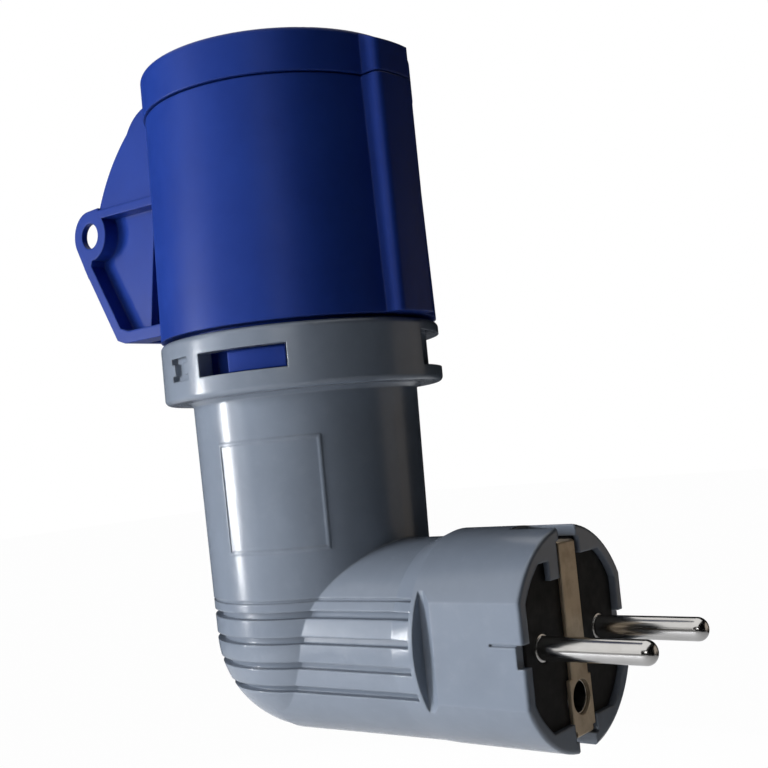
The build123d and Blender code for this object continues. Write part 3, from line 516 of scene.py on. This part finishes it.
@dataclass(frozen=True)
class Piece:
    """How one solid is dressed: its finish, and the radius that its sharp edges get."""

    node: str
    body: Body
    slot: Slot
    finish: Finish
    edge_mm: float = 0.0


def deselect_all() -> None:
    """Leave object mode with nothing selected."""
    if bpy.context.mode != "OBJECT":
        bpy.ops.object.mode_set(mode="OBJECT")
    bpy.ops.object.select_all(action="DESELECT")


def make_active(obj: bpy.types.Object) -> None:
    """Select one object alone and make it the active one.

    Args:
        obj: The object to work on.
    """
    deselect_all()
    obj.select_set(True)
    bpy.context.view_layer.objects.active = obj


def apply_modifier(obj: bpy.types.Object, kind: str, **settings: object) -> None:
    """Add a modifier with its settings and apply it.

    Args:
        obj: The object to shape.
        kind: Blender's name for the modifier type.
        **settings: The modifier's properties.
    """
    modifier = obj.modifiers.new(kind.lower(), kind)
    for key, value in settings.items():
        setattr(modifier, key, value)
    make_active(obj)
    bpy.ops.object.modifier_apply(modifier=modifier.name)


@dataclass
class Assembly:
    """A group of solids that are rounded and dressed together."""

    merge_mm: float = 0.001
    flat_deg: float = 0.5
    sharp_deg: float = 32.0
    smooth_deg: float = 35.0
    edge_steps: int = 2
    area_weight: int = 60

    def pieces(self) -> list[Piece]:
        """List the group's pieces in the order of their dressing."""
        raise NotImplementedError

    def dress(self, nodes: dict[str, bpy.types.Object]) -> None:
        """Dress every piece of the group.

        Args:
            nodes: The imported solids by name.
        """
        for piece in self.pieces():
            solid = nodes[piece.node]
            obj = self.rounded(solid, piece) if piece.edge_mm else solid
            obj.data.materials.clear()
            obj.data.materials.append(piece.finish.build())
            LOG.info("%s in %s", obj.name, piece.finish.value.name)

    def rounded(self, solid: bpy.types.Object, piece: Piece) -> bpy.types.Object:
        """Copy a solid and round its sharp edges as the real piece's are.

        Args:
            solid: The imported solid.
            piece: How far its edges are rounded.

        Returns:
            The piece that stands for the solid.
        """
        obj = bpy.data.objects.new(f"{piece.node}_moulded", solid.data.copy())
        bpy.context.scene.collection.objects.link(obj)
        make_active(obj)
        bpy.ops.mesh.customdata_custom_splitnormals_clear()
        bpy.ops.object.mode_set(mode="EDIT")
        bpy.ops.mesh.select_all(action="SELECT")
        bpy.ops.mesh.remove_doubles(threshold=self.merge_mm * MM)
        bpy.ops.mesh.dissolve_limited(angle_limit=math.radians(self.flat_deg))
        bpy.ops.object.mode_set(mode="OBJECT")
        apply_modifier(
            obj,
            "BEVEL",
            limit_method="ANGLE",
            angle_limit=math.radians(self.sharp_deg),
            offset_type="OFFSET",
            width=piece.edge_mm * MM,
            segments=self.edge_steps,
            use_clamp_overlap=False,
        )
        bpy.ops.object.shade_smooth_by_angle(angle=math.radians(self.smooth_deg))
        apply_modifier(
            obj, "WEIGHTED_NORMAL", mode="FACE_AREA", weight=self.area_weight, keep_sharp=True
        )
        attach(obj, piece.body.value)
        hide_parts(piece.node)
        return obj


@dataclass
class Elbow(Assembly):
    """The grey elbow with its seal, whose solids have their own rounded edges."""

    def pieces(self) -> list[Piece]:
        """List the elbow and the seal in its collar.

        Returns:
            The pieces in the order of their dressing.
        """
        return [
            Piece("angle_housing", Body.ADAPTER, Slot.GREY_HOUSING, Finish.GREY_POLYAMIDE),
            Piece("shroud_seal", Body.ADAPTER, Slot.BLACK_RUBBER, Finish.NITRILE),
        ]


@dataclass
class RoundSocket(Assembly):
    """The blue socket body, its lid and what stands in it."""

    hinge_pin_edge_mm: float = 0.2
    carrier_edge_mm: float = 0.30
    contact_edge_mm: float = 0.15
    contacts: tuple[str, ...] = ("line_contact", "neutral_contact", "earth_contact")

    def pieces(self) -> list[Piece]:
        """List the socket's mouldings, its lid with the hinge, its screws and its contacts.

        Returns:
            The pieces in the order of their dressing.
        """
        fixed, swung = Body.ADAPTER, Body.LID
        blue, phenolic = Finish.BLUE_POLYAMIDE, Finish.BLACK_PHENOLIC
        brass, zinc = Finish.TURNED_BRASS, Finish.ZINC_STEEL
        listed = [
            Piece("socket_shroud", fixed, Slot.BLUE_SOCKET, blue),
            Piece("lid", swung, Slot.BLUE_SOCKET, blue),
            Piece("lid_gasket", swung, Slot.BLACK_RUBBER, Finish.NITRILE),
            Piece("lid_hinge_pin", fixed, Slot.STEEL, zinc, self.hinge_pin_edge_mm),
            Piece("lid_spring", fixed, Slot.STEEL, zinc),
            Piece("contact_carrier", fixed, Slot.BLACK_INSERT, phenolic, self.carrier_edge_mm),
            Piece("contact_retainer", fixed, Slot.BLACK_INSERT, phenolic),
            Piece("retainer_screw", fixed, Slot.STEEL, zinc),
            Piece("carrier_screws", fixed, Slot.STEEL, zinc),
            Piece("contact_screws", fixed, Slot.STEEL, zinc),
        ]
        for name in self.contacts:
            listed.append(Piece(name, fixed, Slot.BRASS_CONTACTS, brass, self.contact_edge_mm))
        return listed


@dataclass
class WallPlug(Assembly):
    """The plug's insert, pins, strap and leads."""

    insert_edge_mm: float = 0.30
    pin_edge_mm: float = 0.12
    strap_edge_mm: float = 0.18
    sleeve_edge_mm: float = 0.15

    def pieces(self) -> list[Piece]:
        """List what is seen on the plug's face, and the screws and leads behind it.

        Returns:
            The pieces in the order of their dressing.
        """
        fixed = Body.ADAPTER
        phenolic, nickel = Finish.BLACK_PHENOLIC, Finish.BRIGHT_NICKEL
        return [
            Piece("plug_insert", fixed, Slot.BLACK_INSERT, phenolic, self.insert_edge_mm),
            Piece("line_pin", fixed, Slot.NICKEL_PINS, nickel, self.pin_edge_mm),
            Piece("neutral_pin", fixed, Slot.NICKEL_PINS, nickel, self.pin_edge_mm),
            Piece("earth_strap", fixed, Slot.TINNED_STRAP, Finish.DULL_TIN, self.strap_edge_mm),
            Piece("earth_sleeve", fixed, Slot.BRASS_CONTACTS, nickel, self.sleeve_edge_mm),
            Piece("pin_screws", fixed, Slot.STEEL, Finish.ZINC_STEEL),
            Piece("line_lead", fixed, Slot.BROWN_LEAD, Finish.BROWN_SHEATH),
            Piece("neutral_lead", fixed, Slot.BLUE_LEAD, Finish.BLUE_SHEATH),
            Piece("earth_lead", fixed, Slot.GREEN_LEAD, Finish.GREEN_SHEATH),
        ]


@dataclass(frozen=True)
class Lamp:
    """An area lamp that points at the adapter.

    A lamp that lights falls on dull surfaces, and one that is mirrored shows in glossy ones.
    """

    name: str
    place: Point
    width: float
    height: float
    power: float
    colour: str
    lights: bool = True
    mirrored: bool = True

    def build(self, target: Vector) -> None:
        """Hang the lamp and turn it to the target.

        Args:
            target: What the lamp points at.
        """
        data = bpy.data.lights.new(self.name, "AREA")
        data.shape = "RECTANGLE"
        data.size, data.size_y = self.width, self.height
        data.energy = self.power
        data.color = linear(self.colour)[:3]
        obj = bpy.data.objects.new(self.name, data)
        bpy.context.scene.collection.objects.link(obj)
        place = Vector(self.place)
        facing = (place - target).to_track_quat("Z", "Y").to_matrix().to_4x4()
        obj.matrix_world = Matrix.Translation(place) @ facing
        obj.visible_diffuse = self.lights
        obj.visible_glossy = self.mirrored
        LOG.info("lamp %s", self.name)


@dataclass(frozen=True)
class Flag:
    """A dark card out of the picture that keeps the white surround off one side of the adapter."""

    name: str
    place: Point
    width: float
    height: float

    def build(self, target: Vector, tone: str) -> None:
        """Stand the card up, facing the target.

        Args:
            target: What the card faces.
            tone: The card's colour.
        """
        deselect_all()
        bpy.ops.mesh.primitive_plane_add(size=1.0)
        card = bpy.context.active_object
        card.name = self.name
        place = Vector(self.place)
        facing = (target - place).to_track_quat("Z", "Y").to_matrix().to_4x4()
        size = Matrix.Diagonal((self.width, self.height, 1.0, 1.0))
        card.data.transform(Matrix.Translation(place) @ facing @ size)
        material, tree = empty_material(f"{self.name}_cloth")
        cloth = add_node(
            tree, "ShaderNodeBsdfDiffuse", {"Color": linear(tone), "Roughness": 1.0}
        )
        add_node(tree, "ShaderNodeOutputMaterial", {"Surface": cloth.outputs[0]})
        card.data.materials.append(material)
        card.visible_camera = False
        LOG.info("card %s", self.name)


@dataclass
class Studio:
    """Pale floor, white surround, window light from the left and the photograph's camera."""

    floor_z: float = -0.30
    floor_size: float = 12.0
    floor_colour: str = "#F4F4F4"
    floor_glow: float = 0.985
    floor_mirrored: float = 0.25
    speckle_colour: str = "#ECECEC"
    speckle_mm: float = 40.0
    speckle_detail: float = 2.0
    speckle_span: Span = (0.3, 0.7)
    speckle_share: float = 0.4
    ambient: str = "#C9CCD4"
    ambient_strength: float = 0.13
    card_tone: str = "#101010"
    cards: tuple[Flag, ...] = (
        Flag("right_card", (0.80, 0.10, 0.10), 2.4, 2.0),
        Flag("far_card", (-0.05, 0.95, 0.10), 2.6, 2.0),
        Flag("left_card", (-1.30, 0.10, 0.10), 2.6, 2.0),
        Flag("front_card", (0.60, -1.70, 0.10), 3.4, 2.0),
    )
    target: Vector = field(default_factory=lambda: Vector((-0.045, 0.0, 0.045)))
    lamps: tuple[Lamp, ...] = (
        Lamp("window", (-0.602, -0.762, 0.130), 0.36, 0.50, 9.4, "#F6F9FF", mirrored=False),
        Lamp("fill", (-0.155, -1.090, 0.080), 0.60, 0.60, 2.9, "#F4F6FA", mirrored=False),
        Lamp("window_edge", (-0.716, -0.602, 0.012), 0.06, 0.22, 2.8, WHITE, lights=False),
        Lamp("room", (0.522, -1.025, 0.295), 0.42, 0.17, 0.8, WHITE, lights=False),
        Lamp("doorway", (0.470, 0.580, 0.060), 0.50, 0.40, 0.28, "#FFF1E2", lights=False),
        Lamp("back_window", (-0.700, 0.810, 0.160), 0.50, 0.50, 5.5, "#F6F9FF", mirrored=False),
    )
    camera_place: Vector = field(default_factory=lambda: Vector((0.09814, -0.16644, 0.03528)))
    camera_azimuth: float = 38.96
    camera_pitch: float = -3.13
    camera_roll: float = -5.62
    camera_reach: Span = (0.01, 50.0)
    focal_mm: float = 52.51
    sensor_mm: float = 36.0

    def build(self) -> None:
        """Set up the surround, the floor, the lamps and the camera."""
        self.surround()
        self.floor()
        for card in self.cards:
            card.build(self.target, self.card_tone)
        for lamp in self.lamps:
            lamp.build(self.target)
        self.camera()
        bpy.context.scene.view_settings.view_transform = "Standard"

    def seen_share(
        self, tree: bpy.types.NodeTree, seen: float, mirrored: float
    ) -> bpy.types.NodeSocket:
        """Work out how much of its plain white a ray sees.

        Args:
            tree: The node tree.
            seen: The share for camera rays.
            mirrored: The share for glossy and transmission rays.

        Returns:
            The share for the ray in hand.
        """
        path = add_node(tree, "ShaderNodeLightPath")
        shares = []
        for name, most in (
            ("Is Camera Ray", seen),
            ("Is Glossy Ray", mirrored),
            ("Is Transmission Ray", mirrored),
        ):
            ray = {0: path.outputs[name], 1: most}
            part = add_node(tree, "ShaderNodeMath", ray, operation="MULTIPLY")
            shares.append(part.outputs["Value"])
        largest = shares[0]
        for share in shares[1:]:
            both = {0: largest, 1: share}
            largest = add_node(tree, "ShaderNodeMath", both, operation="MAXIMUM").outputs["Value"]
        return largest

    def surround(self) -> None:
        """White for what looks at it, and a low even light for the object."""
        world = bpy.data.worlds.new("surround")
        bpy.context.scene.world = world
        world.use_nodes = True
        tree = world.node_tree
        tree.nodes.clear()
        light = add_node(tree, "ShaderNodeBackground", {
            "Color": linear(self.ambient),
            "Strength": self.ambient_strength,
        })
        white = add_node(
            tree, "ShaderNodeBackground", {"Color": linear(WHITE), "Strength": 1.0}
        )
        mixed = add_node(tree, "ShaderNodeMixShader", {
            0: self.seen_share(tree, 1.0, 1.0),
            1: light.outputs[0],
            2: white.outputs[0],
        })
        add_node(tree, "ShaderNodeOutputWorld", {"Surface": mixed.outputs[0]})

    def floor(self) -> None:
        """Lay a wide pale floor well below the adapter, which is held by its pins."""
        deselect_all()
        bpy.ops.mesh.primitive_plane_add(size=self.floor_size, location=(0.0, 0.0, self.floor_z))
        floor = bpy.context.active_object
        floor.name = "floor"
        floor.data.materials.append(self.floor_paint())
        LOG.info("floor at %.2f m", self.floor_z)

    def floor_paint(self) -> bpy.types.Material:
        """Make the floor's pale paint, which looks white and still takes the shadow.

        Returns:
            The paint.
        """
        material, tree = empty_material("pale_floor")
        speckle = add_node(tree, "ShaderNodeTexNoise", {
            "Vector": add_node(tree, "ShaderNodeTexCoord").outputs["Object"],
            "Scale": per_metre(self.speckle_mm),
            "Detail": self.speckle_detail,
            "Roughness": NOISE_ROUGHNESS,
        }).outputs["Fac"]
        share = add_node(tree, "ShaderNodeMapRange", {
            "Value": speckle,
            "From Min": self.speckle_span[0],
            "From Max": self.speckle_span[1],
            "To Min": 0.0,
            "To Max": self.speckle_share,
        }).outputs["Result"]
        tone = add_node(tree, "ShaderNodeMix", {
            "Factor": share,
            6: linear(self.floor_colour),
            7: linear(self.speckle_colour),
        }, data_type="RGBA").outputs[2]
        paint = add_node(tree, "ShaderNodeBsdfDiffuse", {"Color": tone})
        glow = add_node(tree, "ShaderNodeEmission", {"Color": linear(WHITE), "Strength": 1.0})
        mixed = add_node(tree, "ShaderNodeMixShader", {
            0: self.seen_share(tree, self.floor_glow, self.floor_mirrored),
            1: paint.outputs[0],
            2: glow.outputs[0],
        })
        add_node(tree, "ShaderNodeOutputMaterial", {"Surface": mixed.outputs[0]})
        return material

    def camera(self) -> None:
        """Stand the camera where the photograph was taken from."""
        azimuth, pitch, roll = (
            math.radians(a) for a in (self.camera_azimuth, self.camera_pitch, self.camera_roll)
        )
        level = math.cos(pitch)
        back = Vector((math.sin(azimuth) * level, -math.cos(azimuth) * level, math.sin(pitch)))
        right = Vector((math.cos(azimuth), math.sin(azimuth), 0.0))
        up = back.cross(right)
        across = math.cos(roll) * right + math.sin(roll) * up
        upward = math.cos(roll) * up - math.sin(roll) * right
        data = bpy.data.cameras.new("photo_camera")
        data.sensor_width = self.sensor_mm
        data.lens = self.focal_mm
        data.clip_start, data.clip_end = self.camera_reach
        obj = bpy.data.objects.new("photo_camera", data)
        bpy.context.scene.collection.objects.link(obj)
        turn = Matrix((across, upward, back)).transposed().to_4x4()
        obj.matrix_world = Matrix.Translation(self.camera_place) @ turn
        bpy.context.scene.camera = obj


def main() -> None:
    """Load the solids, dress each assembly and light the scene."""
    logging.basicConfig(level=logging.INFO, format="%(name)s: %(message)s")
    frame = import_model()
    for assembly in (Elbow(), RoundSocket(), WallPlug()):
        assembly.dress(frame["nodes"])
    Studio().build()


if __name__ == "__main__":
    main()
